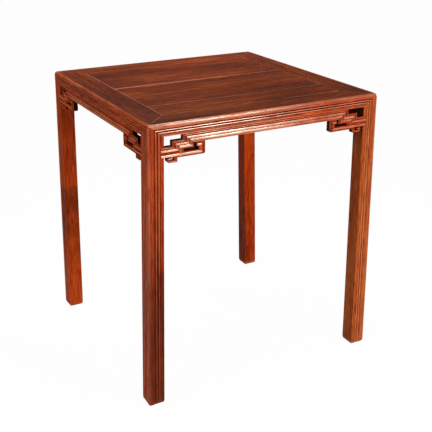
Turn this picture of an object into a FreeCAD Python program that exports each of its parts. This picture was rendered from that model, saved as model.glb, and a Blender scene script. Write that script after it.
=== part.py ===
# Eight immortals table with flush sides: a mitred frame with a floating panel, four legs splayed
# sideways in three-way mitres under its corners, and aprons that run into key-fret spandrels.
# Millimetres. The origin is on the floor under the middle of the top, +X right, +Y back, +Z up.

import FreeCAD
import Part
import math
import os
from FreeCAD import Vector

# Whole table, over the top frame
table_width = 760.0
table_depth = 760.0
table_height = 865.0

# Top frame
rail_height = 36.0
rail_width = 82.0
corner_radius = 5.0          # plan radius of the top's corners and of each leg's outer arris

# Legs
leg_size = 48.0              # square, at the head
leg_foot_size = 50.5         # square, at the floor
leg_splay = 20.5             # each foot stands this far outside the frame, to the left or right
foot_ease = 2.5              # worn edge round the sole

# Moulding of the outer faces: distance from the arris, depth below the face
quirk_width = 0.8
quirk_depth = 0.7
band_end = 19.0              # broad rounded band
band_edge_depth = 1.6
bead_start = 21.5
bead_width = 5.8
bead_gap = 3.2
bead_crest_depth = 0.7
groove_depth = 2.2
strip_start = 38.5           # plain strip along the inner edge
strip_depth = 1.5

# Panel
board_thickness = 14.0
panel_lip = 5.0              # top of the frame to the tongue
panel_tongue = 6.0           # thickness
panel_tongue_reach = 7.0
panel_groove_spare = 0.7     # room for the boards to swell
panel_seam = 0.5             # open joint between boards and round the panel
front_board_width = 98.0
middle_board_width = 245.0
board_tongue = 4.0           # between two boards
board_tongue_reach = 5.0

# Battens
batten_count = 3
batten_spacing = 190.0
batten_width = 26.0
batten_height = 18.0         # below the boards
dovetail_height = 4.0
dovetail_neck = 14.0
dovetail_head = 18.0
batten_tenon_width = 12.0
batten_tenon_height = 11.0
batten_tenon_length = 16.0

# Joints of the frame
rail_tenon_from = 46.0       # from the outer face of the long rail
rail_tenon_width = 26.0
rail_tenon_top = 13.0        # below the top of the frame
rail_tenon_height = 11.0
rail_tenon_end = 28.0        # stops this far inside the short rail's outer face
head_tenon_from = 24.0       # leg's tenon into a rail, along that rail from the corner
head_tenon_length = 14.0
head_tenon_setback = 12.0    # from the rail's outer face
head_tenon_thickness = 8.0
head_tenon_cover = 9.0       # wood left above it

# Aprons and spandrels
apron_height = 27.5
apron_thickness = 16.0
apron_setback = 1.5          # flat band behind the rail's outermost face
ridge_rise = 1.4
ridge_slope = 0.9            # width of each sloping flank
edge_ridge_offset = 3.5      # middle of each ridge, from the strip's upper edge
edge_ridge_width = 3.0
upper_ridge_offset = 11.2
upper_ridge_width = 5.0
lower_ridge_offset = 19.6
lower_ridge_width = 6.0
apron_ease = 3.5
apron_tongue = 5.0           # thickness, up into the rail
apron_tongue_reach = 5.0

# Key fret, from the leg's outer arris and from under the rail
long_opening_end = 104.5
short_opening_end = 72.0
standing_strip = 34.5        # width of the standing strips; lying ones are as high as the apron
stair_drop = 14.8
lowest_bar_height = 29.5
hook_bar = 12.3              # lying bars of the big hook
hook_post = 18.0             # its standing bar
hook_end = 172.0
hook_top_bar_start = 147.5
hook_slot_height = 8.7       # slot between the stair and the hook
hook_ridge_inset = 4.2
hook_radius = 6.0
scroll_start = 56.0          # small scroll under the lowest bar
scroll_end = 87.0
scroll_drop = 16.5           # below the lowest bar
scroll_post = 9.0
scroll_bar = 6.5
scroll_gap = 3.0
scroll_curl = 7.0
scroll_curl_height = 3.5
scroll_radius = 8.0
scroll_end_radius = 3.0
scroll_ridge_width = 3.5
tongue_thickness = 5.0       # apron's tongue into the spandrel
tongue_shoulder = 7.0
tongue_end_wood = 3.5
stub_tenon_length = 12.0     # spandrel's tenon up into the apron
stub_tenon_height = 5.0
bar_tenon_end = 22.0         # spandrel's tenon into the leg
bar_tenon_thickness = 8.0
bar_tenon_shoulder = 5.0

# Fits
joint_clearance = 0.15
reach = 5.0                  # how far a cutting solid runs past what it cuts

# Worked out
frame_bottom = table_height - rail_height
board_bottom = table_height - board_thickness
rail_stretch = rail_height / leg_size
apron_back = apron_setback + apron_thickness
apron_bottom = frame_bottom - apron_height
apron_end = long_opening_end + standing_strip
strip_stretch = standing_strip / apron_height
slot_start = short_opening_end + standing_strip
bar_top = 2 * stair_drop
bar_bottom = bar_top + lowest_bar_height
slot_top = stair_drop + apron_height
hook_bottom = slot_top + hook_slot_height + hook_bar
scroll_bottom = bar_bottom + scroll_drop
tongue_setback = apron_setback + (apron_thickness - tongue_thickness) / 2


class Outline:
    """A chain of lines and arcs; place turns its two coordinates into a point."""

    def __init__(self, place, start):
        self.place = place
        self.start = start
        self.end = start
        self.edges = []

    def line_to(self, end):
        self.edges.append(Part.makeLine(self.place(*self.end), self.place(*end)))
        self.end = end

    def arc_to(self, middle, end):
        arc = Part.Arc(self.place(*self.end), self.place(*middle), self.place(*end))
        self.edges.append(arc.toShape())
        self.end = end

    def close(self):
        if self.end != self.start:
            self.line_to(self.start)
        return Part.Wire(self.edges)


def polygon_solid(points, along):
    """Extrudes a closed polygon of points in space along a vector."""
    wire = Part.makePolygon(points + points[:1])
    return Part.Face(wire).extrude(along)


def box_between(low, high):
    """A box from its lowest to its highest corner."""
    size = Vector(*high) - Vector(*low)
    return Part.makeBox(size.x, size.y, size.z, Vector(*low))


def fused(shape, others):
    """One solid of a shape and what grows out of it."""
    return shape.fuse(others).removeSplitter()


# ---- the moulding that legs and rails share ----

def moulding_steps():
    """Steps from the arris inwards as (crest, end); crest is None on a straight stretch."""
    first_bead_end = bead_start + bead_width
    second_bead_start = first_bead_end + bead_gap
    second_bead_end = second_bead_start + bead_width
    band_start = corner_radius + quirk_width
    return [
        (None, (band_start, quirk_depth)),
        (((band_start + band_end) / 2, 0.0), (band_end, band_edge_depth)),
        (None, (bead_start, groove_depth)),
        ((bead_start + bead_width / 2, bead_crest_depth), (first_bead_end, groove_depth)),
        (None, (second_bead_start, groove_depth)),
        ((second_bead_start + bead_width / 2, bead_crest_depth), (second_bead_end, groove_depth)),
        (None, (strip_start, strip_depth)),
        (None, (leg_size, strip_depth)),
    ]


def draw_inwards(outline, turn):
    """Draws the moulding from the arris to the inner edge; turn orders the coordinates."""
    for crest, end in moulding_steps():
        if crest is None:
            outline.line_to(turn(*end))
        else:
            outline.arc_to(turn(*crest), turn(*end))


def draw_outwards(outline, turn):
    """Draws the same moulding from the inner edge back to the arris."""
    steps = moulding_steps()
    starts = [(corner_radius, 0.0)] + [end for crest, end in steps[:-1]]
    for (crest, end), start in zip(reversed(steps), reversed(starts)):
        if crest is None:
            outline.line_to(turn(*start))
        else:
            outline.arc_to(turn(*crest), turn(*start))


def arris_middle():
    """The middle of the quarter round at the arris, from both faces."""
    return corner_radius * (1 - 0.5 ** 0.5)


# ---- corner of the frame: x and y run inwards from its outer corner, depth down from the top ----

def corner_wedge(points, place, along):
    """A cutting prism with its outline given in corner coordinates."""
    return polygon_solid([place(*point) for point in points], along)


def beyond_mitre():
    """The half of the corner that belongs to the other rail, y greater than x."""
    far = rail_width + reach
    points = [(-reach, -reach), (-reach, far), (far, far)]
    low = frame_bottom - reach
    height = Vector(0, 0, rail_height + 2 * reach)
    return corner_wedge(points, lambda x, y: Vector(x, y, low), height)


def below_leg_mitre():
    """The part of a rail's end that the leg takes: under the line from corner to inner edge."""
    low = rail_height + reach
    points = [(-reach, -reach * rail_stretch), (-reach, low), (low / rail_stretch, low)]
    across = Vector(0, rail_width + 2 * reach, 0)
    return corner_wedge(points, lambda x, depth: Vector(x, -reach, table_height - depth), across)


def above_leg_mitre():
    """The part of the leg's head that a rail along x takes, over the same line."""
    far = leg_size + reach
    points = [(-reach, -reach * rail_stretch), (far, -reach * rail_stretch), (far, far * rail_stretch)]
    across = Vector(0, leg_size + 2 * reach, 0)
    return corner_wedge(points, lambda x, depth: Vector(x, -reach, table_height - depth), across)


def outside_round_corner():
    """What the plan radius takes off the frame's outer corner."""
    low = frame_bottom - reach
    high = table_height + reach
    square = box_between((-reach, -reach, low), (corner_radius, corner_radius, high))
    centre = Vector(corner_radius, corner_radius, low)
    return square.cut(Part.makeCylinder(corner_radius, high - low, centre))


def swap_xy(shape):
    """Mirrors a shape in the corner's diagonal, so that x and y change places."""
    return shape.mirror(Vector(0, 0, 0), Vector(1, -1, 0))


def head_tenon(spare):
    """Leg's tenon into the rail along x; spare widens it into the rail's mortise."""
    low = (head_tenon_from - spare, head_tenon_setback - spare, frame_bottom - reach)
    high = (
        head_tenon_from + head_tenon_length + spare,
        head_tenon_setback + head_tenon_thickness + spare,
        table_height - head_tenon_cover + spare,
    )
    return box_between(low, high)


def rail_tenon(spare):
    """Long rail's tenon through the mitre into the short rail; spare widens it."""
    top = table_height - rail_tenon_top
    low = (rail_tenon_end - spare, rail_tenon_from - spare, top - rail_tenon_height - spare)
    high = (rail_width - reach, rail_tenon_from + rail_tenon_width + spare, top + spare)
    return box_between(low, high)


def bar_housing(spare):
    """End of a spandrel's lowest bar where it is let into the leg."""
    low = (strip_start - spare, -reach, frame_bottom - bar_bottom - spare)
    high = (leg_size + reach, apron_back + spare, frame_bottom - bar_top + spare)
    return box_between(low, high)


def bar_tenon(spare):
    """Tenon beyond that housing, deeper in the leg."""
    setback = apron_setback + (apron_thickness - bar_tenon_thickness) / 2
    low_z = frame_bottom - bar_bottom + bar_tenon_shoulder
    high_z = frame_bottom - bar_top - bar_tenon_shoulder
    low = (bar_tenon_end - spare, setback - spare, low_z - spare)
    high = (strip_start + reach, setback + bar_tenon_thickness + spare, high_z + spare)
    return box_between(low, high)


# ---- legs ----

def leg_section(corner_x, corner_y, size, z):
    """Leg's cross-section: two moulded outer faces, two plain inner ones."""
    scale = size / leg_size
    outline = Outline(
        lambda x, y: Vector(corner_x + x * scale, corner_y + y * scale, z),
        (corner_radius, 0.0),
    )
    draw_inwards(outline, lambda distance, depth: (distance, depth))
    outline.line_to((leg_size, leg_size))
    outline.line_to((strip_depth, leg_size))
    draw_outwards(outline, lambda distance, depth: (depth, distance))
    outline.arc_to((arris_middle(), arris_middle()), (corner_radius, 0.0))
    return outline.close()


def leg_section_at(z):
    """Cross-section of the splayed leg at a height."""
    share = (frame_bottom - z) / frame_bottom
    size = leg_size + (leg_foot_size - leg_size) * share
    return leg_section(-leg_splay * share, 0.0, size, z)


def make_leg():
    """Leg of the front left corner, with its outer corner at the frame's."""
    sole = leg_section(foot_ease - leg_splay, foot_ease, leg_foot_size - 2 * foot_ease, 0.0)
    sections = [sole, leg_section_at(foot_ease), leg_section_at(frame_bottom)]
    shaft = Part.makeLoft(sections, True, True)
    head = Part.Face(leg_section(0.0, 0.0, leg_size, frame_bottom)).extrude(Vector(0, 0, rail_height))
    over_mitre = above_leg_mitre()
    head = head.cut([over_mitre, swap_xy(over_mitre)])
    tenon = head_tenon(0.0)
    leg = fused(shaft, [head, tenon, swap_xy(tenon)])
    housing = bar_housing(joint_clearance).fuse(bar_tenon(joint_clearance))
    return leg.cut([housing, swap_xy(housing)])


# ---- sides: x runs along the side from its middle, y inwards from the outer face ----

def both_ends(shape, length):
    """A cut or piece of the left corner, in its place at both ends of a side."""
    left = shape.translated(Vector(-length / 2, 0, 0))
    return [left, left.mirror(Vector(0, 0, 0), Vector(1, 0, 0))]


def rail_section(length):
    """Rail's cross-section at its left end, with the panel groove on the inner edge."""
    outline = Outline(lambda y, z: Vector(-length / 2, y, z), (corner_radius, table_height))
    middle = arris_middle()
    outline.arc_to(
        (middle, table_height - middle * rail_stretch),
        (0.0, table_height - corner_radius * rail_stretch),
    )
    draw_inwards(outline, lambda distance, depth: (depth, table_height - distance * rail_stretch))
    groove_top = table_height - panel_lip
    groove_bottom = groove_top - panel_tongue - joint_clearance
    groove_end = rail_width - panel_tongue_reach - panel_groove_spare
    outline.line_to((rail_width, frame_bottom))
    outline.line_to((rail_width, groove_bottom))
    outline.line_to((groove_end, groove_bottom))
    outline.line_to((groove_end, groove_top))
    outline.line_to((rail_width, groove_top))
    outline.line_to((rail_width, table_height))
    return outline.close()


def make_rail(length):
    """Rail with mitred ends over the legs, before its own tenons or mortises."""
    bar = Part.Face(rail_section(length)).extrude(Vector(length, 0, 0))
    cuts = both_ends(beyond_mitre(), length)
    cuts += both_ends(below_leg_mitre(), length)
    cuts += both_ends(outside_round_corner(), length)
    cuts += both_ends(head_tenon(joint_clearance), length)
    cuts.append(apron_tongue_solid(length, joint_clearance))
    return bar.cut(cuts)


def make_long_rail(length):
    """Front or back rail: its tenons pass the mitre, and the battens' mortises are in its edge."""
    rail = fused(make_rail(length), both_ends(rail_tenon(0.0), length))
    mortises = []
    for x in batten_places():
        mortises.append(batten_tenon(x, joint_clearance))
    return rail.cut(mortises)


def make_short_rail(length):
    """Left or right rail: it has the mortises of the corner."""
    mortise = swap_xy(rail_tenon(joint_clearance))
    return make_rail(length).cut(both_ends(mortise, length))


def apron_tongue_solid(length, spare):
    """Tongue along the apron's upper edge; spare widens it into the rail's groove."""
    start = apron_end - length / 2
    setback = apron_setback + (apron_thickness - apron_tongue) / 2
    low = (start - spare, setback - spare, frame_bottom - reach)
    high = (-start + spare, setback + apron_tongue + spare, frame_bottom + apron_tongue_reach + spare)
    return box_between(low, high)


def ridge_profile(width):
    """A ridge's section as (sideways, outwards) points from foot over crest to foot."""
    half = width / 2
    return [(-half, 0.0), (ridge_slope - half, ridge_rise), (half - ridge_slope, ridge_rise), (half, 0.0)]


def ridge_edge(outline, middle, width):
    """Draws one raised ridge down the apron's face."""
    for sideways, outwards in ridge_profile(width):
        outline.line_to((apron_setback - outwards, frame_bottom - middle - sideways))


def apron_end_tongue(spare):
    """Apron's tongue past its mitre into the spandrel; spare widens it."""
    top = frame_bottom - tongue_shoulder
    bottom = apron_bottom + tongue_shoulder
    low = (long_opening_end + tongue_end_wood - spare, tongue_setback - spare, bottom - spare)
    high = (apron_end, tongue_setback + tongue_thickness + spare, top + spare)
    return box_between(low, high)


def stub_tenon(spare):
    """Tenon on the big hook's upper end; spare widens it into the apron's mortise."""
    middle = (hook_top_bar_start + hook_end) / 2
    low = (middle - stub_tenon_length / 2 - spare, tongue_setback - spare, apron_bottom - reach)
    high = (
        middle + stub_tenon_length / 2 + spare,
        tongue_setback + tongue_thickness + spare,
        apron_bottom + stub_tenon_height + spare,
    )
    return box_between(low, high)


def beside_apron_mitre(points):
    """A cutting prism beside the apron's mitre; across the strip its points are stretched."""
    placed = [
        Vector(long_opening_end + across * strip_stretch, -reach, frame_bottom - depth)
        for across, depth in points
    ]
    return polygon_solid(placed, Vector(0, apron_back + 2 * reach, 0))


def left_of_apron_mitre():
    """What the spandrel's standing strip takes off the apron's end."""
    low = apron_height + reach
    return beside_apron_mitre([(-reach, -reach), (-reach, low), (low, low)])


def right_of_apron_mitre():
    """What the apron takes off the spandrel's standing strip."""
    return beside_apron_mitre([(-reach, -reach), (apron_height, -reach), (apron_height, apron_height)])


def make_apron(length):
    """Straight apron with three ridges, mitred at both ends."""
    start = long_opening_end - length / 2
    outline = Outline(lambda y, z: Vector(start, y, z), (apron_setback, frame_bottom))
    ridge_edge(outline, edge_ridge_offset, edge_ridge_width)
    ridge_edge(outline, upper_ridge_offset, upper_ridge_width)
    ridge_edge(outline, lower_ridge_offset, lower_ridge_width)
    ease_middle = apron_ease * (1 - 0.5 ** 0.5)
    outline.line_to((apron_setback, apron_bottom + apron_ease))
    outline.arc_to(
        (apron_setback + ease_middle, apron_bottom + ease_middle),
        (apron_setback + apron_ease, apron_bottom),
    )
    outline.line_to((apron_back, apron_bottom))
    outline.line_to((apron_back, frame_bottom))
    bar = Part.Face(outline.close()).extrude(Vector(-2 * start, 0, 0))
    bar = bar.cut(both_ends(left_of_apron_mitre(), length))
    bar = bar.cut(both_ends(stub_tenon(joint_clearance), length))
    tongue = apron_tongue_solid(length, 0.0)
    return fused(bar, both_ends(apron_end_tongue(0.0), length) + [tongue])


# ---- key-fret spandrel: x from the leg's arris, depth from under the rail ----

def on_fret(x, depth):
    """A point on the spandrel's face."""
    return Vector(x, apron_setback, frame_bottom - depth)


def beside(corners, distance):
    """A path's corners moved to one side, further where the path stands than where it lies."""
    moved = []
    for before, (x, depth), after in zip(corners[:1] + corners, corners, corners[1:] + corners[-1:]):
        ahead_x = after[0] - before[0]
        ahead_depth = after[1] - before[1]
        if ahead_depth:
            x += distance * strip_stretch * math.copysign(1, ahead_depth)
        if ahead_x:
            depth -= distance * math.copysign(1, ahead_x)
        moved.append((x, depth))
    return moved


def ridge_along(corners, width):
    """A raised ridge along lying and standing stretches, mitred at each turn."""
    sections = []
    for outwards in (-ridge_rise / 2, ridge_rise):
        half = width / 2 - ridge_slope * outwards / ridge_rise
        outline = beside(corners, half) + beside(corners, -half)[::-1]
        points = [on_fret(*corner) - Vector(0, outwards, 0) for corner in outline]
        sections.append(Part.makePolygon(points + points[:1]))
    return Part.makeLoft(sections, True, True)


def fret_plate():
    """The pierced plate: a stair from the apron to the leg, a big hook and a small scroll."""
    post_start = hook_end - hook_post
    hook_top = hook_bottom - hook_bar
    top_bar_bottom = apron_height + hook_bar
    curl_top = bar_bottom + scroll_gap
    curl_bottom = curl_top + scroll_curl_height
    scroll_floor = scroll_bottom - scroll_bar
    post_end = scroll_start + scroll_post
    corners = [
        (long_opening_end, 0.0),
        (apron_end, apron_height),
        (apron_end, slot_top),
        (slot_start, slot_top),
        (slot_start, hook_top),
        (post_start, hook_top),
        (post_start, top_bar_bottom),
        (hook_top_bar_start, top_bar_bottom),
        (hook_top_bar_start, apron_height),
        (hook_end, apron_height),
        (hook_end, hook_bottom),
        (scroll_end, hook_bottom),
        (scroll_end, scroll_bottom),
        (scroll_start, scroll_bottom),
        (scroll_start, curl_top),
        (post_end + scroll_curl, curl_top),
        (post_end + scroll_curl, curl_bottom),
        (post_end, curl_bottom),
        (post_end, scroll_floor),
        (scroll_end - scroll_post, scroll_floor),
        (scroll_end - scroll_post, bar_bottom),
        (strip_start, bar_bottom),
        (strip_start, bar_top),
        (short_opening_end, bar_top),
        (short_opening_end, stair_drop),
        (long_opening_end, stair_drop),
    ]
    return polygon_solid([on_fret(*corner) for corner in corners], Vector(0, apron_thickness, 0))


def rounding(x, depth, inwards, radius):
    """What rounding takes off a lower corner; inwards is 1 where the wood lies to its right."""
    centre = on_fret(x + inwards * radius, depth - radius)
    outer = on_fret(x - inwards * reach, depth + reach)
    low = (min(centre.x, outer.x), -reach, outer.z)
    high = (max(centre.x, outer.x), apron_back + reach, centre.z)
    front = Vector(centre.x, -reach, centre.z)
    bore = Part.makeCylinder(radius, apron_back + 2 * reach, front, Vector(0, 1, 0))
    return box_between(low, high).cut(bore)


def stair_ridge(offset, width, last):
    """A ridge down both steps of the stair and along the lowest bar at the depth last."""
    across = offset * strip_stretch
    return ridge_along([
        (long_opening_end + across, 0.0),
        (long_opening_end + across, stair_drop + offset),
        (short_opening_end + across, stair_drop + offset),
        (short_opening_end + across, last),
        (strip_start, last),
    ], width)


def fret_ridges():
    """Ridges along the stair, the hook and the scroll."""
    lowest = hook_bottom - hook_bar + hook_ridge_inset
    hook_inner = hook_end - hook_post + hook_ridge_inset
    hook_outer = hook_end - edge_ridge_offset * strip_stretch
    top_bar_inner = apron_height + hook_bar - hook_ridge_inset
    edge = edge_ridge_offset
    scroll_right = scroll_end - scroll_post / 2
    scroll_low = scroll_bottom - scroll_bar / 2
    scroll_left = scroll_start + scroll_post / 2
    curl = bar_bottom + scroll_gap + scroll_curl_height / 2
    return [
        stair_ridge(edge, edge_ridge_width, bar_top + edge),
        stair_ridge(upper_ridge_offset, upper_ridge_width, bar_top + upper_ridge_offset),
        stair_ridge(lower_ridge_offset, lower_ridge_width, lowest),
        ridge_along([
            (short_opening_end + lower_ridge_offset * strip_stretch, lowest),
            (hook_inner, lowest),
            (hook_inner, top_bar_inner),
            (hook_top_bar_start, top_bar_inner),
        ], upper_ridge_width),
        ridge_along([
            (scroll_end, hook_bottom - edge),
            (hook_outer, hook_bottom - edge),
            (hook_outer, apron_height + edge),
            (hook_top_bar_start, apron_height + edge),
        ], edge_ridge_width),
        ridge_along([
            (scroll_right, hook_bottom),
            (scroll_right, scroll_low),
            (scroll_left, scroll_low),
            (scroll_left, curl),
            (scroll_start + scroll_post + scroll_curl, curl),
        ], scroll_ridge_width),
    ]


def make_spandrel():
    """Key-fret spandrel of a side's left end, seen from outside."""
    plate = fused(fret_plate(), fret_ridges())
    plate = plate.cut([
        right_of_apron_mitre(),
        apron_end_tongue(joint_clearance),
        rounding(hook_end, hook_bottom, -1, hook_radius),
        rounding(scroll_start, scroll_bottom, 1, scroll_radius),
        rounding(scroll_end, scroll_bottom, -1, scroll_end_radius),
    ])
    return fused(plate, [bar_tenon(0.0), stub_tenon(0.0)])


# ---- panel and battens ----

def batten_places():
    """The battens' middles along X, evenly spaced about the table's middle."""
    first = -batten_spacing * (batten_count - 1) / 2
    return [first + batten_spacing * number for number in range(batten_count)]


def batten_tenon(x, spare):
    """Batten's tenon in the long rail's frame, x from the rail's middle, y from its face."""
    middle = board_bottom - batten_height / 2
    low = (x - batten_tenon_width / 2 - spare, rail_width - batten_tenon_length - spare,
           middle - batten_tenon_height / 2 - spare)
    high = (x + batten_tenon_width / 2 + spare, rail_width + reach,
            middle + batten_tenon_height / 2 + spare)
    return box_between(low, high)


def dovetail(x, spare, half_length):
    """Dovetail key on a batten; spare widens it into the boards' slot."""
    neck = dovetail_neck / 2 + spare
    head = dovetail_head / 2 + spare
    bottom = board_bottom - spare
    top = board_bottom + dovetail_height + spare
    points = [(-neck, bottom), (neck, bottom), (head, top), (-head, top)]
    placed = [Vector(x + side, -half_length, z) for side, z in points]
    return polygon_solid(placed, Vector(0, 2 * half_length, 0))


def make_batten(x):
    """Transverse batten between the long rails."""
    half_length = table_depth / 2 - rail_width
    low = (x - batten_width / 2, -half_length, board_bottom - batten_height)
    high = (x + batten_width / 2, half_length, board_bottom)
    body = box_between(low, high)
    tenon = batten_tenon(x, 0.0).translated(Vector(0, -table_depth / 2, 0))
    back_tenon = tenon.mirror(Vector(0, 0, 0), Vector(0, 1, 0))
    return fused(body, [dovetail(x, 0.0, half_length), tenon, back_tenon])


def make_board(front, back, front_is_edge, back_is_edge):
    """Board between two heights of Y; its outer edges are tongued, its joints tongue and groove."""
    half_width = table_width / 2 - rail_width
    gap = panel_seam / 2
    front_face = front + (panel_seam if front_is_edge else gap)
    back_face = back - (panel_seam if back_is_edge else gap)
    tongue_top = table_height - panel_lip
    tongue_bottom = tongue_top - panel_tongue
    joint_top = table_height - (board_thickness - board_tongue) / 2
    joint_bottom = joint_top - board_tongue
    board = box_between((panel_seam - half_width, front_face, board_bottom),
                        (half_width - panel_seam, back_face, table_height))
    tongue_front = front - panel_tongue_reach if front_is_edge else front_face
    tongue_back = back + panel_tongue_reach if back_is_edge else back_face
    grown = [box_between((-half_width - panel_tongue_reach, tongue_front, tongue_bottom),
                         (half_width + panel_tongue_reach, tongue_back, tongue_top))]
    if not back_is_edge:
        grown.append(box_between((panel_seam - half_width, back_face - reach, joint_bottom),
                                 (half_width - panel_seam, back + board_tongue_reach, joint_top)))
    board = fused(board, grown)
    spare = joint_clearance
    cuts = [dovetail(x, spare, table_depth / 2) for x in batten_places()]
    if not front_is_edge:
        far = half_width + panel_tongue_reach + reach
        cuts.append(box_between((-far, front_face - reach, joint_bottom - spare),
                                (far, front + board_tongue_reach + spare, joint_top + spare)))
    return board.cut(cuts)


# ---- places ----

def on_side(shape, turns, half_span):
    """Puts a shape of one side in place: half_span is from the table's middle to that side."""
    placed = shape.translated(Vector(0, -half_span, 0))
    placed.rotate(Vector(0, 0, 0), Vector(0, 0, 1), 90 * turns)
    return placed


def write(name, shape):
    """Writes one piece."""
    shape.exportStep("parts/" + name + ".step")


def write_sides():
    """Rails, aprons and spandrels of the four sides, going round from the front."""
    spandrel = make_spandrel()
    names = ["front", "right", "back", "left"]
    for turns, name in enumerate(names):
        is_long = turns % 2 == 0
        length = table_width if is_long else table_depth
        half_span = (table_depth if is_long else table_width) / 2
        rail = make_long_rail(length) if is_long else make_short_rail(length)
        write(name + "_rail", on_side(rail, turns, half_span))
        write(name + "_apron", on_side(make_apron(length), turns, half_span))
        before = names[turns - 1]
        after = names[(turns + 1) % 4]
        near, far = both_ends(spandrel, length)
        write(name + "_spandrel_" + before, on_side(near, turns, half_span))
        write(name + "_spandrel_" + after, on_side(far, turns, half_span))


def write_legs():
    """The four legs, mirrored from the front left one."""
    leg = make_leg().translated(Vector(-table_width / 2, -table_depth / 2, 0))
    right_leg = leg.mirror(Vector(0, 0, 0), Vector(1, 0, 0))
    write("front_left_leg", leg)
    write("front_right_leg", right_leg)
    write("back_left_leg", leg.mirror(Vector(0, 0, 0), Vector(0, 1, 0)))
    write("back_right_leg", right_leg.mirror(Vector(0, 0, 0), Vector(0, 1, 0)))


def write_panel():
    """Three boards from front to back, and the battens under them."""
    front_edge = rail_width - table_depth / 2
    first_seam = front_edge + front_board_width
    second_seam = first_seam + middle_board_width
    write("front_board", make_board(front_edge, first_seam, True, False))
    write("middle_board", make_board(first_seam, second_seam, False, False))
    write("back_board", make_board(second_seam, -front_edge, False, True))
    for number, x in enumerate(batten_places(), 1):
        write("batten_" + str(number), make_batten(x))


os.makedirs("parts", exist_ok=True)
write_sides()
write_legs()
write_panel()
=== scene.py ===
from math import radians

import bmesh
import bpy
import numpy as np
from mathutils import Matrix, Vector


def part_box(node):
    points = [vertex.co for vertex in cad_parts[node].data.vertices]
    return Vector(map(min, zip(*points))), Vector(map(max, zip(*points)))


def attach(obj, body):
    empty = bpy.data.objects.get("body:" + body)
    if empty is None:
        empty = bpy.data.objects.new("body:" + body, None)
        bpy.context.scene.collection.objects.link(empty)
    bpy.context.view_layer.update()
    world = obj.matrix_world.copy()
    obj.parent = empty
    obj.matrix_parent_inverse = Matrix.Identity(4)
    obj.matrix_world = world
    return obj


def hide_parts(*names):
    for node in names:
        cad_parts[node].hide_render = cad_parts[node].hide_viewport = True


# Chinese eight immortals table with flush sides. Metres, floor at z 0, +X right, +Y back.
# The small sizes in the settings are in millimetres, as a joiner would mark them out.

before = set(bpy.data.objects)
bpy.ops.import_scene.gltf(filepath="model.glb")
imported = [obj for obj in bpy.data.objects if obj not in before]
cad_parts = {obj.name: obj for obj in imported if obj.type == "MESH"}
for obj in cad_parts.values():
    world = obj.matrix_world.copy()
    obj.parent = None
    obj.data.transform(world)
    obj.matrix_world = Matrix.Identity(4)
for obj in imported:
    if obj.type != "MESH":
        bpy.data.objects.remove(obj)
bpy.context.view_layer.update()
mm = 0.001
tiny = 1e-9      # keeps a division from meeting nought
slack = 0.01     # values closer than this count as the same

railLow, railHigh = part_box("front_rail")
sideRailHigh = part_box("right_rail")[1]
apronLow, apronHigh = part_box("front_apron")
legLow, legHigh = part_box("front_left_leg")
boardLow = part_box("front_board")[0]

tableWidth = 2 * sideRailHigh.x / mm
tableDepth = -2 * railLow.y / mm
tableHeight = railHigh.z / mm
frameBottom = railLow.z / mm
railHeight = tableHeight - frameBottom
railWidth = (railHigh.y - railLow.y) / mm
legSize = legHigh.x / mm + tableWidth / 2
legSplay = -tableWidth / 2 - legLow.x / mm     # sideways only
railStretch = railHeight / legSize      # the rail's moulding is the leg's, squeezed to its height
apronHeight = frameBottom - apronLow.z / mm
apronBack = (apronHigh.y - railLow.y) / mm
apronEnd = apronLow.x / mm + tableWidth / 2    # from the leg's arris
boardBottom = boardLow.z / mm
sideNames = ["front", "right", "back", "left"]


# Meshes from arrays

sharpAngle = radians(38)     # edges that turn more than this stay sharp


def gridQuads(rows, columns, closed):
    # one four-sided face per cell of a grid; in a closed one the last column joins the first
    row = np.arange(rows - 1)[:, None] * columns
    column = np.arange(columns if closed else columns - 1)[None, :]
    following = (column + 1) % columns
    corners = [row + column, row + following, row + columns + following, row + columns + column]
    return np.stack(corners, axis=-1).reshape(-1, 4)


def closedTube(rings):
    # rings of points joined by quads, each end closed by a fan to the middle of its ring
    rows, columns = rings.shape[:2]
    points = np.concatenate([rings.reshape(-1, 3), rings[[0, -1]].mean(axis=1)])
    here = np.arange(columns)
    following = (here + 1) % columns
    last = (rows - 1) * columns
    firstFan = np.stack([here, following, np.full(columns, rows * columns)], axis=-1)
    lastFan = np.stack([last + following, last + here, np.full(columns, rows * columns + 1)], axis=-1)
    return points, gridQuads(rows, columns, True).tolist() + firstFan.tolist() + lastFan.tolist()


def closedSlab(front, back, quads, triangles, wallShares):
    # a front and a back sheet with the same cells; every edge with one cell gets a wall, with a row of
    # points at each share of the way back. Gives each point's place in the sheet and its share
    used, renumbered = np.unique(np.concatenate([quads.ravel(), triangles.ravel()]), return_inverse=True)
    quads, triangles = np.split(renumbered, [quads.size])
    quads, triangles = quads.reshape(-1, 4), triangles.reshape(-1, 3)
    edges = np.concatenate([np.stack([cells, np.roll(cells, -1, axis=1)], axis=-1).reshape(-1, 2)
                            for cells in (quads, triangles)])
    place, count = np.unique(np.sort(edges, axis=1), axis=0, return_index=True, return_counts=True)[1:]
    rim = edges[place[count == 1]]
    rimPoints, rimPlaces = np.unique(rim, return_inverse=True)
    rimPlaces = rimPlaces.reshape(-1, 2)
    total = len(used)
    source = np.concatenate([used, used] + [used[rimPoints]] * len(wallShares))
    share = np.repeat([0.0, 1.0, *wallShares], [total, total] + [len(rimPoints)] * len(wallShares))
    rows = [rim] + [2 * total + row * len(rimPoints) + rimPlaces for row in range(len(wallShares))]
    faces = quads.tolist() + triangles.tolist()
    for near, far in zip(rows, rows[1:] + [rim + total]):
        faces += np.stack([near[:, 1], near[:, 0], far[:, 0], far[:, 1]], axis=-1).tolist()
    faces += (quads[:, ::-1] + total).tolist() + (triangles[:, ::-1] + total).tolist()
    points = front[source] + share[:, None] * (back[source] - front[source])
    return source, share, points, faces


def addObject(name, data):
    # a new object in the scene, at the origin
    item = bpy.data.objects.new(name, data)
    bpy.context.scene.collection.objects.link(item)
    return item


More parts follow.
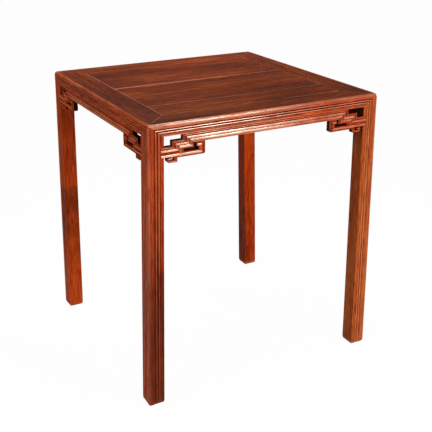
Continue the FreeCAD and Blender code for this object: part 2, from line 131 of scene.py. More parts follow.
def makePiece(name, points, faces, marks, material, node, topMaterial=None):
    # points come in millimetres; marks are named values per point that the wood reads. Faces whose
    # points are all marked upper take the second material
    mesh = bpy.data.meshes.new(name)
    mesh.from_pydata((points * mm).tolist(), [], faces)
    for mark, values in marks.items():
        layer = mesh.attributes.new(mark, "FLOAT", "POINT")
        layer.data.foreach_set("value", np.asarray(values, np.float32).ravel())
    solid = bmesh.new()
    solid.from_mesh(mesh)
    bmesh.ops.recalc_face_normals(solid, faces=solid.faces)
    solid.to_mesh(mesh)
    solid.free()
    mesh.polygons.foreach_set("use_smooth", np.ones(len(mesh.polygons), bool))
    mesh.set_sharp_from_angle(angle=sharpAngle)
    mesh.materials.append(material)
    if topMaterial:
        mesh.materials.append(topMaterial)
        corners = np.zeros(len(mesh.loops), np.int32)
        starts = np.zeros(len(mesh.polygons), np.int32)
        mesh.loops.foreach_get("vertex_index", corners)
        mesh.polygons.foreach_get("loop_start", starts)
        upper = np.minimum.reduceat(np.asarray(marks["upper"])[corners], starts) > 0.5
        mesh.polygons.foreach_set("material_index", upper.astype(np.int32))
    piece = addObject(name, mesh)
    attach(piece, "root")
    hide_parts(node)
    return piece


def padTube(marks, rows):
    # marks given per ring point, repeated for every ring and averaged for the two end fans
    return {name: np.append(np.broadcast_to(values, rows), [values.mean()] * 2)
            for name, values in marks.items()}


def sideLength(turns):
    # front and back are as long as the table is wide, the other two as it is deep
    return tableWidth if turns % 2 == 0 else tableDepth


def grainAxis(turns):
    # the grain follows the side
    return "X" if turns % 2 == 0 else "Y"


def onSide(points, turns):
    # from a side's own axes (x along it, y inwards from its face) to the table's, by quarter turns
    x, y, z = points[..., 0], points[..., 1] - sideLength(turns + 1) / 2, points[..., 2]
    for turn in range(turns):
        x, y = -y, x
    return np.stack([x, y, z], axis=-1)


cornerRound = 10.0     # reach of the rounding that use has given the top's four corners


def wornCorner(points):
    # near a corner of the top every point is drawn towards the corner's inner ball: from the ball's
    # centre, away * (1 + t * (max(away) / |away| - 1)), where t = min(away) / reach, so that it fades out
    sides = np.stack([tableWidth / 2 - np.abs(points[..., 0]), tableDepth / 2 - np.abs(points[..., 1]),
                      tableHeight - points[..., 2]], axis=-1)
    away = cornerRound - sides
    share = np.clip(away.min(axis=-1, keepdims=True) / cornerRound, 0, 1)
    length = np.maximum(np.linalg.norm(away, axis=-1, keepdims=True), tiny)
    moved = away * (1 + share * (away.max(axis=-1, keepdims=True) / length - 1))
    shift = (away - moved) * np.where(share > 0, 1, 0)
    signs = np.append(np.sign(points[..., :2]), np.ones(points.shape[:-1] + (1,)), axis=-1)
    return points - shift * signs


# Wood

def rgb(red, green, blue):
    # a colour as a paint program gives it, 0 to 255, as Blender's linear values
    values = np.array([red, green, blue]) / 255
    linear = np.where(values < 0.04045, values / 12.92, ((values + 0.055) / 1.055) ** 2.4)
    return (*linear, 1.0)


class NodeTools:
    # short helpers that add and join the nodes of one material, or of the world
    def __init__(self, owner):
        owner.use_nodes = True
        self.owner = owner
        self.tree = owner.node_tree

    def feed(self, node, inputs):
        # another node's result is linked to the socket, anything else becomes its own value
        for place, value in inputs.items():
            if isinstance(value, bpy.types.NodeSocket):
                self.tree.links.new(value, node.inputs[place])
            else:
                node.inputs[place].default_value = value

    def add(self, kind, inputs=None, **settings):
        # one node, with its choices set before its sockets are fed
        node = self.tree.nodes.new("ShaderNode" + kind)
        for name, value in settings.items():
            setattr(node, name, value)
        self.feed(node, inputs or {})
        return node

    def ramp(self, value, low, high, lowResult=0.0, highResult=1.0, curve="SMOOTHSTEP"):
        # from one result to the other by 3 t^2 - 2 t^3, or by t where the curve is linear
        inputs = {"Value": value, "From Min": low, "From Max": high,
                  "To Min": lowResult, "To Max": highResult}
        return self.add("MapRange", inputs, interpolation_type=curve).outputs["Result"]

    def math(self, operation, first, second):
        # one sum, difference or maximum of two values
        return self.add("Math", {0: first, 1: second}, operation=operation).outputs[0]

    def times(self, first, second):
        # first * second
        return self.math("MULTIPLY", first, second)

    def mix(self, share, first, second):
        # a colour: first * (1 - share) + second * share
        return self.add("Mix", {0: share, 6: first, 7: second}, data_type="RGBA").outputs[2]

    def mark(self, name):
        # a named value of the mesh, such as hollow (dirt and painted shade) or worn (wear and painted
        # highlight)
        return self.add("Attribute", attribute_name=name).outputs["Fac"]


woodNoise = {
    # scale, stretch along the grain, detail, roughness and distortion
    "streaks": (95, 0.035, 6, 0.62, 0.15),
    "specks": (340, 0.1, 2, 0.5, 0),
    "fibres": (520, 0.035, 3, 0.6, 0),
    "patches": (7, 0.3, 3, 0.55, 0),
    "pores": (1500, 0.06, 1, 0.55, 0),
    "blotches": (60, 0.3, 4, 0.55, 0),
    "planing": (28, 0.3, 1, 0.55, 0),
}
woodFinish = {
    "dark": rgb(96, 23, 5),
    "middle": rgb(146, 44, 9),
    "light": rgb(182, 73, 24),
    "darkToMiddle": (0.36, 0.51),        # tones over which one shade gives way to the next
    "middleToLight": (0.5, 0.66),
    # dark of the pores, of dirt in joints, and of dirt and painted shade in hollows
    "dirt": rgb(22, 6, 3),
    # pale crests: wear and painted highlight
    "wornColour": rgb(222, 136, 88),
    "wornShare": 0.45,
    "blotchRange": (0.3, 0.65),          # of the noise that wear and painted highlight, dust and the darker stretch come and go by
    "wornUneven": 0.7,                   # the less, the more the wear and painted highlight come and go
    "highlightFade": None,                    # wear, painted highlight and polish fading along X: from and to, with the share left
    "hollowShare": 1.0,
    "shadeDark": rgb(14, 5, 3),          # painted shade on the sides of the cut-outs, backs and undersides
    "shadeMiddle": rgb(28, 11, 7),
    "shadeLight": rgb(46, 20, 12),
    "dust": rgb(196, 150, 136),
    "dustRange": (0.0, 0.8),             # of the blotches, from thinnest to thickest dust
    "dustShares": (0.45, 0.95),
    "darkStretch": None,                      # heights where a darker stretch is gone, full and ends; share
    "darkStretchUneven": 0.8,
    "darkSide": None,                    # a darker side, towards the shade colour: outward direction, share, heights it fades over
    "sideRange": (0.2, 0.8),             # of the facing that way, from none to all of it
    "streaks": 0.35,                     # how strongly each kind of figure shows
    "specks": 0.5,
    "fibres": 0.55,
    "patches": 0.45,
    "pores": 0.5,
    "poreRange": (0.6, 0.7),             # of the noise, from none to a full pore
    "roughness": 0.3,
    "roughnessSpread": 0.18,
    "dulling": {"hollow": 0.3, "pores": 0.15, "dust": 0.4},
    "specular": 0.035,
    "specularTint": rgb(255, 226, 200),
    "polish": 0.6,                       # coat that hands and cloths have left on the crests
    "polishRoughness": 0.18,
    "polishIor": 1.6,
    "fibreHeight": 0.5,                  # of the depth of the pores
    "grainRelief": (0.35, 0.00025),      # strength and height in metres
    "planedRelief": (0.5, 0.0012),
}
darkStretchEdge = 0.01     # metres above and below its sharp end


def makeWood(name, grain, changes):
    # hardwood: streaks and pores drawn out along the grain, dirt and painted shade in hollows, painted shade
    # on inner faces, wear and painted highlight on the crests, polish over them
    finish = {**woodFinish, **changes}
    wood = NodeTools(bpy.data.materials.new(name))
    coordinates = wood.add("TexCoord").outputs
    axes = wood.add("SeparateXYZ", {"Vector": coordinates["Object"]}).outputs

    def noise(kind):
        # one kind of figure, stretched along the grain
        scale, stretch, detail, roughness, distortion = woodNoise[kind]
        stretches = [stretch if axis == grain else 1.0 for axis in "XYZ"]
        drawnOut = wood.add("Mapping", {"Vector": coordinates["Object"], "Scale": stretches})
        inputs = {"Vector": drawnOut.outputs["Vector"], "Scale": scale, "Detail": detail,
                  "Roughness": roughness, "Distortion": distortion}
        return wood.add("TexNoise", inputs).outputs["Fac"]

    figures = {kind: noise(kind) for kind in ("streaks", "specks", "fibres", "patches")}
    # tone = 0.5 + the sum of share * (figure - 0.5)
    tone = 0.5 - 0.5 * sum(finish[kind] for kind in figures)
    for kind, value in figures.items():
        tone = wood.math("ADD", wood.times(value, finish[kind]), tone)

    def grained(dark, middle, light):
        # three shades, each giving way to the next as the tone rises
        shade = wood.mix(wood.ramp(tone, *finish["darkToMiddle"]), dark, middle)
        return wood.mix(wood.ramp(tone, *finish["middleToLight"]), shade, light)

    colour = grained(finish["dark"], finish["middle"], finish["light"])
    # painted shade: faces marked inner turn to near-black shade colours
    shadeColour = grained(finish["shadeDark"], finish["shadeMiddle"], finish["shadeLight"])
    colour = wood.mix(wood.mark("inner"), colour, shadeColour)
    pores = wood.ramp(noise("pores"), *finish["poreRange"])
    colour = wood.mix(wood.times(pores, finish["pores"]), colour, finish["dirt"])
    # dirt and painted shade in hollows
    hollow = wood.times(wood.mark("hollow"), finish["hollowShare"])
    colour = wood.mix(hollow, colour, finish["dirt"])

    blotches = wood.ramp(noise("blotches"), *finish["blotchRange"])
    # wear and painted highlight: pale colour, and polish, on the crests
    worn = wood.times(wood.mark("worn"), wood.ramp(blotches, -finish["wornUneven"], 1.0))
    if finish["highlightFade"]:
        start, end, left = finish["highlightFade"]
        worn = wood.times(worn, wood.ramp(axes["X"], start, end, 1.0, left))
    colour = wood.mix(wood.times(worn, finish["wornShare"]), colour, finish["wornColour"])
    if finish["darkSide"]:
        outward, amount, low, high = finish["darkSide"]
        facing = wood.add("VectorMath", {0: coordinates["Normal"], 1: outward},
                          operation="DOT_PRODUCT").outputs["Value"]
        side = wood.times(wood.ramp(facing, *finish["sideRange"]),
                          wood.ramp(axes["Z"], low, high, amount, 0.0))
        colour = wood.mix(side, colour, finish["shadeDark"])
    if finish["darkStretch"]:
        gone, full, end, amount = finish["darkStretch"]
        fading = wood.ramp(axes["Z"], gone, full, 0.0, amount)
        ending = wood.ramp(axes["Z"], end - darkStretchEdge, end + darkStretchEdge, 1.0, 0.0)
        uneven = wood.ramp(blotches, -finish["darkStretchUneven"], 1.0)
        colour = wood.mix(wood.times(wood.times(fading, ending), uneven), colour, finish["shadeMiddle"])
    dust = wood.times(wood.mark("dust"), wood.ramp(blotches, *finish["dustRange"], *finish["dustShares"]))
    colour = wood.mix(dust, colour, finish["dust"])

    # duller in hollows, pores and dust, and a little uneven all over
    spread = finish["roughnessSpread"]
    rough = wood.math("ADD", wood.times(figures["patches"], spread), finish["roughness"] - spread / 2)
    for cause, dulled in (("hollow", hollow), ("pores", pores), ("dust", dust)):
        rough = wood.math("ADD", rough, wood.times(dulled, finish["dulling"][cause]))

    # open pores and fibres, over a surface planed by hand
    fine = wood.math("SUBTRACT", wood.times(figures["fibres"], finish["fibreHeight"]), pores)
    strength, height = finish["grainRelief"]
    relief = wood.add("Bump", {"Height": fine, "Strength": strength, "Distance": height})
    strength, height = finish["planedRelief"]
    planed = wood.add("Bump", {"Height": noise("planing"), "Strength": strength, "Distance": height,
                               "Normal": relief.outputs["Normal"]})
    wood.feed(wood.tree.nodes["Principled BSDF"], {
        "Base Color": colour,
        "Roughness": rough,
        "Normal": planed.outputs["Normal"],
        "Specular IOR Level": finish["specular"],
        "Specular Tint": finish["specularTint"],
        "Coat Weight": wood.times(worn, finish["polish"]),
        "Coat Roughness": finish["polishRoughness"],
        "Coat IOR": finish["polishIor"],
    })
    return wood.owner


topFinish = {
    # older, browner and duller
    "dark": rgb(62, 21, 5),
    "middle": rgb(96, 38, 12),
    "light": rgb(136, 66, 27),
    "streaks": 0.55,
    "specks": 0.25,
    "fibres": 0.5,
    "patches": 0.5,
    "roughness": 0.44,
    "specular": 0.007,
}
handled = {
    # the long members along X: the strongest wear and painted highlight, fading along X, under the glossiest
    # polish
    "X": {"wornColour": rgb(238, 184, 148), "wornShare": 0.8, "highlightFade": (-0.15, 0.2, 0.35),
          "polish": 1.0, "polishIor": 1.9},
    "Y": {"wornColour": rgb(218, 130, 66), "wornShare": 0.45, "polish": 0.05, "hollowShare": 0.8,
          "specular": 0.01},
}
legSurface = {"hollowShare": 0.7, "specular": 0.018, "specks": 0.3, "streaks": 0.3, "fibres": 0.7}
legFinish = {
    # each leg from its own plank
    "front_left": {"dark": rgb(92, 24, 7), "middle": rgb(134, 41, 12), "light": rgb(166, 68, 28),
                   "wornColour": rgb(204, 122, 78), "wornShare": 0.36, "polish": 0.35, "hollowShare": 0.5,
                   "darkSide": ((0, -1, 0), 0.62, 0.3, 0.6), "streaks": 0.5},
    "front_right": {"dark": rgb(112, 40, 13), "middle": rgb(147, 66, 26), "light": rgb(180, 98, 48),
                    "wornColour": rgb(226, 150, 100), "wornShare": 0.25, "polish": 0.35,
                    "hollowShare": 0.35},
    "back_left": {"dark": rgb(124, 36, 10), "middle": rgb(158, 58, 18), "light": rgb(188, 82, 32),
                  "wornColour": rgb(196, 100, 52), "wornShare": 0.35, "polish": 0.15,
                  "darkStretch": (0.1, 0.36, 0.466, 0.55)},
    # painted shade on the side that faces -X
    "back_right": {"darkSide": ((-1, 0, 0), 0.5, 0.9, 1.0), "middle": rgb(158, 54, 14)},
}
railWood = {axis: makeWood("railWood" + axis, axis, handled[axis]) for axis in "XY"}
railTopWood = {axis: makeWood("railTopWood" + axis, axis, topFinish) for axis in "XY"}
apronWood = {axis: makeWood("apronWood" + axis, axis, handled[axis]) for axis in "XY"}
legWood = {leg: makeWood(leg.replace("_", "") + "LegWood", "Z", {**legSurface, **changes})
           for leg, changes in legFinish.items()}
panelWood = makeWood("panelWood", "X", {})
panelTopWood = makeWood("panelTopWood", "X", topFinish)
battenWood = makeWood("battenWood", "Y", {"roughness": 0.5, "specular": 0.05})
print("woods made")


# The moulding that legs and rails share

moulding = {
    "arrisRadius": 5.0,
    "quirkWidth": 0.8,
    "quirkDepth": 0.7,
    "bandEnd": 19.0,
    "bandEdgeDepth": 1.6,
    "beadStarts": (21.5, 30.5),
    "beadWidth": 5.8,
    "beadCrestDepth": 0.7,
    "grooveDepth": 2.2,
    "stripStart": 38.5,
    "stripDepth": 1.5,
    "stripPoints": (2.0, 6),       # where its points start, past its edge, and their number
    "softening": 0.35,       # how far use and finish have rounded every corner of it
    "step": 0.45,            # between the points of its curves
    "sample": 0.1,           # between the values that they are read from
    "surroundings": 22,      # samples, over which a place counts as hollow or worn
    "fullMark": 0.5,         # below or above them, where it is fully so
    "besideArrisHighlight": (0.7, 4.0),     # wear and painted highlight beside the arris, and how far it reaches
}


def arcRise(distance, start, end, rise):
    # a round bead over its chord: sqrt(radius^2 - offset^2) - (radius - rise), nought outside it
    half = (end - start) / 2
    radius = (half ** 2 + rise ** 2) / (2 * rise)
    offset = np.minimum(np.abs(distance - (start + end) / 2), half)
    return np.sqrt(radius ** 2 - offset ** 2) - (radius - rise)


def blurred(values, spread):
    # each value becomes the bell-weighted mean of its neighbours, spread counted in samples
    reach = int(3 * spread) + 1
    weights = np.exp(-0.5 * (np.arange(-reach, reach + 1) / spread) ** 2)
    return np.convolve(np.pad(values, reach, mode="edge"), weights / weights.sum(), mode="valid")


def mouldedFace():
    # depth below the outer face over the distance from the arris: straight stretches, less three
    # round rises; hollow (dirt and painted shade) and wear (wear and painted highlight) tell how far it lies
    # under or over its surroundings
    m = moulding
    bandStart = m["arrisRadius"] + m["quirkWidth"]
    knots = [m["arrisRadius"], bandStart, m["bandEnd"], m["beadStarts"][0],
             m["beadStarts"][1] + m["beadWidth"], m["stripStart"], legSize]
    depths = [0, m["quirkDepth"], m["bandEdgeDepth"], m["grooveDepth"],
              m["grooveDepth"], m["stripDepth"], m["stripDepth"]]
    fine = np.arange(m["arrisRadius"], legSize + m["sample"] / 2, m["sample"])
    depth = np.interp(fine, knots, depths)
    depth -= arcRise(fine, bandStart, m["bandEnd"], (m["quirkDepth"] + m["bandEdgeDepth"]) / 2)
    for start in m["beadStarts"]:
        depth -= arcRise(fine, start, start + m["beadWidth"], m["grooveDepth"] - m["beadCrestDepth"])
    depth = np.maximum(blurred(depth, m["softening"] / m["sample"]), 0)
    curves = np.arange(m["arrisRadius"], m["stripStart"] + 1, m["step"])
    past, number = m["stripPoints"]
    distance = np.append(curves, np.linspace(m["stripStart"] + past, legSize, number))
    under = np.interp(distance, fine, depth - blurred(depth, m["surroundings"])) / m["fullMark"]
    most, reach = m["besideArrisHighlight"]
    besideArrisHighlight = most * np.clip(1 - (distance - m["arrisRadius"]) / reach, 0, 1)
    worn = np.maximum(np.clip(-under, 0, 1), besideArrisHighlight)
    return distance, np.interp(distance, fine, depth), np.clip(under, 0, 1), worn


def quarterRound(radius, steps=8):
    # the arris between its two ends: radius * (1 - sin) from one face, radius * (1 - cos) from the other
    angle = np.linspace(0, np.pi / 2, steps + 2)[1:-1]
    return radius * (1 - np.sin(angle)), radius * (1 - np.cos(angle))


def easedCorner(before, corner, after, radius, steps=4):
    # a bend that leaves one edge and joins the next a radius from the corner:
    # (1 - t)^2 start + 2 t (1 - t) corner + t^2 end
    before, corner, after = (np.array(point, float) for point in (before, corner, after))
    start = corner + radius * (before - corner) / np.linalg.norm(before - corner)
    end = corner + radius * (after - corner) / np.linalg.norm(after - corner)
    t = np.linspace(0, 1, steps)[:, None]
    return (1 - t) ** 2 * start + 2 * t * (1 - t) * corner + t ** 2 * end


faceDistance, faceDepth, faceHollow, faceWearAndHighlight = mouldedFace()
arrisAlong, arrisAcross = quarterRound(moulding["arrisRadius"])


# Members: a profile carried along its length to its joints

jointEase = {
    "width": 0.7,
    "depth": 0.35,
    "rows": (0.0, 0.35, 0.7, 1.2, 2.0, 4.0),     # distances of the first rows from a joint
    "dirt": 0.8,
    "dirtWidth": 0.8,
    "dustWidth": 1.5,
    "dustCore": 1.3,       # in widths: where the dust ends; it is full as far as 0.3
}
seamDust = {
    # how much pale polish and dust each seam of the top holds
    "front": 0.45,
    "right": 0.2,
    "back": 0.25,
    "left": 0.5,
    "mitres": (0.6, 0.2, 0.2, 0.25),     # from front left round to the right
    "firstBoards": 0.35,
    "secondBoards": 1.0,
    "fade": (0.5, 150.0),     # of the second boards' seam: share lost, and over which way to the right
}


def sunkAt(fromJoint):
    # how far a member's end sinks at its joint: depth * (1 - distance / width)^1.5
    return jointEase["depth"] * np.clip(1 - fromJoint / jointEase["width"], 0, 1) ** 1.5


def dirtAt(fromJoint):
    # dirt in a joint: dirt * (1 - distance / width)
    return jointEase["dirt"] * np.clip(1 - fromJoint / jointEase["dirtWidth"], 0, 1)


def dustAt(fromSeam, width):
    # dust beside a seam: core - distance / width, kept between nought and one
    return np.clip(jointEase["dustCore"] - fromSeam / width, 0, 1)


def raiseMark(marks, name, values):
    # a tube's mark becomes the greater of itself and the values; its two end points stay
    marks[name] = np.maximum(marks[name], np.append(values, [0, 0]))


def memberRings(profile, startGap, endGap, rows):
    # rings from the first joint to the last: a few close to each joint, the rest evenly between;
    # each profile point starts and stops at its own place, so that the mitres come out exactly
    near = np.array(jointEase["rows"])
    share = np.linspace(0, 1, rows)[1:-1, None]
    inner = (startGap + near[-1]) * (1 - share) + (endGap - near[-1]) * share
    along = np.concatenate([startGap + near[:, None], inner, endGap - near[::-1, None]])
    fromJoint = np.minimum(along - startGap, endGap - along)
    ahead = np.roll(profile, -1, axis=0) - np.roll(profile, 1, axis=0)
    inwards = np.stack([ahead[:, 1], -ahead[:, 0]], axis=-1)
    inwards /= np.maximum(np.linalg.norm(inwards, axis=1, keepdims=True), tiny)
    across = profile[None] + sunkAt(fromJoint)[..., None] * inwards[None]
    return along, across, fromJoint


def sideMember(turns, profile, marks, start, rows, top):
    # a member along one side, its profile hung from the height top
    length = sideLength(turns)
    along, across, fromJoint = memberRings(profile, start, length - start, rows)
    rings = np.stack([along - length / 2, across[..., 0], top - across[..., 1]], axis=-1)
    return onSide(rings, turns), padTube(marks, along.shape), along, fromJoint


railLook = {
    "topRows": 14,
    "topMargin": 2.0,                # from the inner edge to the first of them
    "underRows": 6,
    "underMargin": 4.0,
    "rows": 40,
    "lowerCornerEase": 1.5,
    "innerEdgeEase": 0.5,
    "arrisWearHighlight": 0.6,
    "lowerEdgeWearHighlight": (0.7, 5.0),     # wear and painted highlight: share, and the height over which it fades out
    "topEdge": 3.0,                  # depth down to which a profile point counts as the top's
    "underEdge": (0.5, 2.0),         # the painted shade starts this far up, and in from the face
}


def railProfile():
    # inwards and downwards from the rail's outer top corner: inner edge, top, arris, moulded face, underside
    look = railLook
    inner = easedCorner((railWidth, railHeight), (railWidth, 0), (0, 0), look["innerEdgeEase"])
    top = np.linspace(railWidth - look["topMargin"], moulding["arrisRadius"], look["topRows"])
    arris = np.stack([arrisAlong, arrisAcross * railStretch], axis=-1)
    face = np.stack([faceDepth, faceDistance * railStretch], axis=-1)
    margin = look["underMargin"]
    under = np.linspace(moulding["stripDepth"] + margin, railWidth - margin, look["underRows"])
    lower = easedCorner((0, railHeight), (railWidth, railHeight), (railWidth, 0), look["lowerCornerEase"])
    parts = [inner, np.stack([top, top * 0], axis=-1), arris, face,
             np.stack([under, under * 0 + railHeight], axis=-1), lower]
    arrisStart, faceStart, faceEnd = np.cumsum([len(part) for part in parts])[1:4]
    profile = np.concatenate(parts)
    inwards, down = profile.T
    marks = {"hollow": np.zeros(len(profile)), "worn": np.zeros(len(profile))}
    marks["hollow"][faceStart:faceEnd] = faceHollow
    # wear and painted highlight along the face's lower edge and on the arris
    most, reach = look["lowerEdgeWearHighlight"]
    lowerEdge = most * np.clip(1 - (legSize - faceDistance) / reach, 0, 1)
    marks["worn"][faceStart:faceEnd] = np.maximum(faceWearAndHighlight, lowerEdge)
    marks["worn"][arrisStart - 1:faceStart] = look["arrisWearHighlight"]
    marks["upper"] = 1.0 * (inwards > moulding["arrisRadius"] - slack) * (down < look["topEdge"])
    # painted shade on the underside and the inner edge
    up, within = look["underEdge"]
    marks["inner"] = 1.0 * (down > railHeight - up) * (inwards > moulding["stripDepth"] + within)
    return profile, marks


def addRail(turns):
    # each profile point stops where the plan mitre or the leg's mitre does: the greater of its
    # distance inwards and its distance down, stretched back to the leg's measure
    name = sideNames[turns]
    profile, marks = railProfile()
    inwards, down = profile.T
    start = np.maximum(inwards, down / railStretch)
    rings, padded, along, fromJoint = sideMember(turns, profile, marks, start, railLook["rows"], tableHeight)
    points, faces = closedTube(wornCorner(rings))
    mitres = np.roll(seamDust["mitres"], -turns)
    mitreDust = dustAt(fromJoint, jointEase["dustWidth"]) * marks["upper"]
    mitreDust = mitreDust * np.where(along < sideLength(turns) / 2, mitres[0], mitres[1])
    innerDust = dustAt(railWidth - inwards, jointEase["dustWidth"]) * (down < railLook["topEdge"])
    padded["dust"] = np.append(np.maximum(mitreDust, innerDust * seamDust[name]), [0, 0])
    raiseMark(padded, "hollow", dirtAt(fromJoint) * (1 - marks["upper"]))
    return makePiece(name + "Rail", points, faces, padded, railWood[grainAxis(turns)], name + "_rail",
                     railTopWood[grainAxis(turns)])


for turns in range(4):
    addRail(turns)
print("rails made")


# Aprons and their ridges

ridges = {
    "rise": 1.4,
    "edge": (3.5, 3.0),        # middle from the strip's upper edge, and width
    "upper": (11.1, 7.2),
    "lower": (19.2, 7.6),
    "setback": 1.5,
    "ridgeWearHighlight": (0.35, 1.0, 1.0),  # wear and painted highlight of the edge, upper and lower ridges
    "crest": (2.2, 0.9),       # wear and painted highlight of a ridge: first * height / rise - second
    # dirt and painted shade at the ridges' feet
    "groundDirtAndShade": 0.5,
    "groundDarkReach": 1.4,
    "groundDarkBelow": 0.9,          # height over the ground from which a ridge has neither dirt nor painted shade
    "lowerEase": 3.5,
    "lowerSteps": 6,
    "backEase": 1.5,
    "backShade": (1.0, 2.0),   # behind the ground: where the painted shade starts, and its fade
    "lowerEdgeWearHighlight": 0.5,
    "upperEdgeDirt": 0.7,
    "standingStrip": 34.5,     # width of the standing strips; lying ones are as high as the apron
    "rows": 30,
    # rows over each ridge, as shares of half its width, and the depths of those between ridges
    "ridgeRows": (-1, -0.97, -0.88, -0.7, -0.45, -0.2, 0, 0.2, 0.45, 0.7, 0.88, 0.97, 1),
    "groundRows": (0, 0.4, 1.2, 5.8, 7, 8, 14.3, 15.2, 16),
}
stripStretch = ridges["standingStrip"] / apronHeight
stripRidges = [ridges["edge"], ridges["upper"], ridges["lower"]]


def ridgeHeight(offset, width):
    # half an ellipse over the ridge's width: rise * sqrt(1 - (2 * offset / width)^2)
    return ridges["rise"] * np.sqrt(np.clip(1 - (2 * offset / width) ** 2, 0, 1))


def ridgeMarks(offsets, widths, wearHighlightShares):
    # crests get wear and painted highlight, each ridge by its own share, and the ground close to a ridge's
    # foot gets dirt and painted shade
    heights = np.array([ridgeHeight(offset, width) for offset, width in zip(offsets, widths)])
    foot = np.min([np.abs(offset) - width / 2 for offset, width in zip(offsets, widths)], axis=0)
    steepness, least = ridges["crest"]
    worn = (np.clip(heights / ridges["rise"] * steepness - least, 0, 1).T * wearHighlightShares).T.max(axis=0)
    height = heights.max(axis=0)
    hollow = ridges["groundDirtAndShade"] * np.clip(1 - np.abs(foot) / ridges["groundDarkReach"], 0, 1)
    return height, {"hollow": hollow * (height < ridges["groundDarkBelow"]), "worn": worn}


def addApron(turns):
    # the strip's profile drawn along it; its ends are mitred to the wider standing strips, so each
    # point starts as far from the end as it lies under the rail, times the stretch
    name = sideNames[turns]
    middles, widths = zip(*stripRidges)
    rows = [middle + share * width / 2 for middle, width in stripRidges for share in ridges["ridgeRows"]]
    ease = ridges["lowerEase"]
    depth = np.unique([*rows, *ridges["groundRows"], apronHeight - ease])
    height, faceMarks = ridgeMarks([depth - middle for middle in middles], widths, ridges["ridgeWearHighlight"])
    front = ridges["setback"]
    face = np.stack([front - height, depth], axis=-1)
    lower = easedCorner((front, 0), (front, apronHeight), (apronBack, apronHeight), ease,
                        ridges["lowerSteps"])[1:]
    behind = easedCorner((0, apronHeight), (apronBack, apronHeight), (apronBack, 0), ridges["backEase"])
    profile = np.concatenate([face, lower, behind, [[apronBack, 0.0]]])
    rest = np.zeros(len(profile) - len(face))
    marks = {mark: np.append(values, rest) for mark, values in faceMarks.items()}
    marks["worn"][len(face) - 1:len(face) + len(lower) - 1] = ridges["lowerEdgeWearHighlight"]
    marks["hollow"][0] = ridges["upperEdgeDirt"]
    # painted shade on the back
    shadeStart, shadeDepth = ridges["backShade"]
    marks["inner"] = np.clip((profile[:, 0] - front - shadeStart) / shadeDepth, 0, 1)
    start = apronEnd + profile[:, 1] * stripStretch
    rings, padded, along, fromJoint = sideMember(turns, profile, marks, start, ridges["rows"], frameBottom)
    points, faces = closedTube(rings)
    raiseMark(padded, "hollow", dirtAt(fromJoint))
    return makePiece(name + "Apron", points, faces, padded, apronWood[grainAxis(turns)], name + "_apron")


for turns in range(4):
    addApron(turns)
print("aprons made")


# Key-fret spandrels: x from the leg's arris, depth under the rail

fret = {
    "stairStart": 72.0,
    "stairDrop": 14.8,
    "lowestBar": 29.5,
    "hookBar": 12.3,
    "hookPost": 18.0,
    "hookEnd": 172.0,
    "hookTopStart": 147.5,
    "hookRadius": 6.0,
    "slotHeight": 8.7,
    "ridgeInset": 4.2,
    "scrollStart": 56.0,
    "scrollEnd": 87.0,
    "scrollDrop": 16.5,
    "scrollPost": 9.0,
    "scrollBar": 6.5,
    "scrollGap": 3.0,
    "curl": 7.0,
    "curlHeight": 3.5,
    "scrollRadius": 8.0,
    "scrollEndRadius": 3.0,
    "scrollRidge": 3.5,
    "thickness": 16.0,
    "web": 4.0,                # left at the back of the hook's slot, which isn't cut right through; its front is painted shade
    "edgeEase": 0.9,
    "edgeWearHighlight": 0.25,
    "cleanEdge": 1.0,          # beside every edge, where neither dirt nor painted shade stays
    "fretRidgeWearHighlight": (0.5, 1.0, 1.0, 0.8, 0.05, 0.7),     # wear and painted highlight, in the order of fretRidges
    "standingWearHighlight": 0.15,      # share of the lying ridges' wear and painted highlight that standing ridges get
    "overrun": 9.0,            # by which the ridges start above the mitre
    "gridStep": 0.1,           # every line of the grid lies on a multiple of it
    "coarsest": 4.0,           # widest cell
    "onLine": 0.05,            # distance that still counts as on a line
    # lines of the grid beside each edge, ridge and soft edge, as shares of their widths
    "edgeLines": (-1, -0.6, -0.25, 0, 0.25, 0.6, 1),
    "ridgeLines": (-0.5, -0.45, -0.3, 0, 0.3, 0.45, 0.5),
    "softLines": (-0.9, -0.75, -0.55, -0.3, -0.12),
    "wallRows": (0.06, 0.5),   # rows on the sides of the cut-outs, as shares of the thickness
}
barTop = 2 * fret["stairDrop"]
barBottom = barTop + fret["lowestBar"]
slotTop = fret["stairDrop"] + apronHeight
slotBottom = slotTop + fret["slotHeight"]
slotStart = fret["stairStart"] + ridges["standingStrip"]
hookBottom = slotBottom + fret["hookBar"]
postStart = fret["hookEnd"] - fret["hookPost"]
topBarBottom = apronHeight + fret["hookBar"]
scrollBottom = barBottom + fret["scrollDrop"]
stripEnd = apronEnd + ridges["standingStrip"]


def squeezed(points):
    # x from the apron's end, divided by the stretch: there the apron's mitre runs at 45 degrees
    values = (np.array(points, float) - (apronEnd, 0)) / (stripStretch, 1)
    return np.round(values / fret["gridStep"]) * fret["gridStep"]


